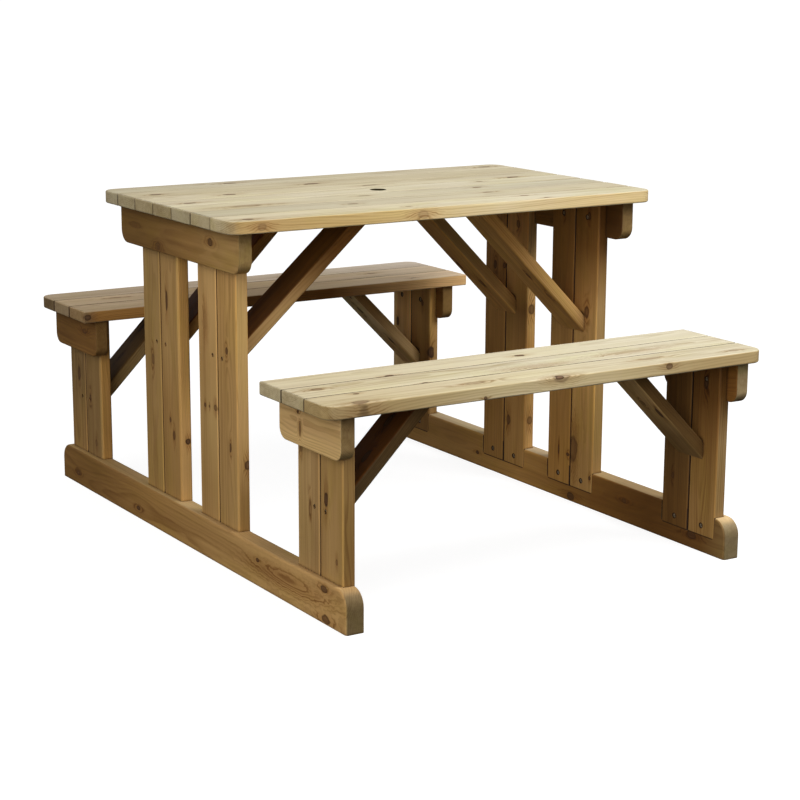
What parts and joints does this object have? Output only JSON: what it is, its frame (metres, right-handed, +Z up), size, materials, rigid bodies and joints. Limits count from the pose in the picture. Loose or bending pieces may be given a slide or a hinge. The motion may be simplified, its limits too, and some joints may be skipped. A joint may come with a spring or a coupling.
{
  "type": "walk-in picnic table",
  "caption": "Free-standing wooden picnic table with a planked top, two fixed benches, housed end frames, sloping braces and a central parasol hole.",
  "frame": {"origin": "on the ground, under the middle of the table top", "axes": "+X along the planks, to the right end; +Y across, from the front bench to the back bench; +Z up"},
  "size_m": [1.0795, 1.421, 0.76],
  "materials": {
    "plank_wood": "planed softwood, pressure treated, eased edges, matt",
    "frame_wood": "planed softwood, pressure treated, eased edges, matt",
    "screw_steel": "coated countersunk wood screws, dull"
  },
  "bodies": {
    "root": {"top_plank_1": "plank_wood", "top_plank_2": "plank_wood", "top_plank_3": "plank_wood", "top_plank_4": "plank_wood", "top_plank_5": "plank_wood", "top_plank_6": "plank_wood", "top_plank_7": "plank_wood", "front_bench_plank_1": "plank_wood", "front_bench_plank_2": "plank_wood", "front_bench_plank_3": "plank_wood", "back_bench_plank_1": "plank_wood", "back_bench_plank_2": "plank_wood", "back_bench_plank_3": "plank_wood", "left_foot_rail": "frame_wood", "left_table_bearer": "frame_wood", "left_front_bench_bearer": "frame_wood", "left_front_table_brace": "frame_wood", "left_front_table_upright_inner": "frame_wood", "left_front_table_upright_outer": "frame_wood", "left_front_bench_brace": "frame_wood", "left_front_bench_upright_inner": "frame_wood", "left_front_bench_upright_outer": "frame_wood", "left_back_bench_bearer": "frame_wood", "left_back_table_brace": "frame_wood", "left_back_table_upright_inner": "frame_wood", "left_back_table_upright_outer": "frame_wood", "left_back_bench_brace": "frame_wood", "left_back_bench_upright_inner": "frame_wood", "left_back_bench_upright_outer": "frame_wood", "right_foot_rail": "frame_wood", "right_table_bearer": "frame_wood", "right_front_bench_bearer": "frame_wood", "right_front_table_brace": "frame_wood", "right_front_table_upright_inner": "frame_wood", "right_front_table_upright_outer": "frame_wood", "right_front_bench_brace": "frame_wood", "right_front_bench_upright_inner": "frame_wood", "right_front_bench_upright_outer": "frame_wood", "right_back_bench_bearer": "frame_wood", "right_back_table_brace": "frame_wood", "right_back_table_upright_inner": "frame_wood", "right_back_table_upright_outer": "frame_wood", "right_back_bench_brace": "frame_wood", "right_back_bench_upright_inner": "frame_wood", "right_back_bench_upright_outer": "frame_wood", "upright_foot_screws": "screw_steel", "upright_bearer_screws": "screw_steel", "brace_foot_screws": "screw_steel", "brace_head_screws": "screw_steel", "table_plank_screws": "screw_steel", "bench_plank_screws": "screw_steel"}
  },
  "joints": []
}
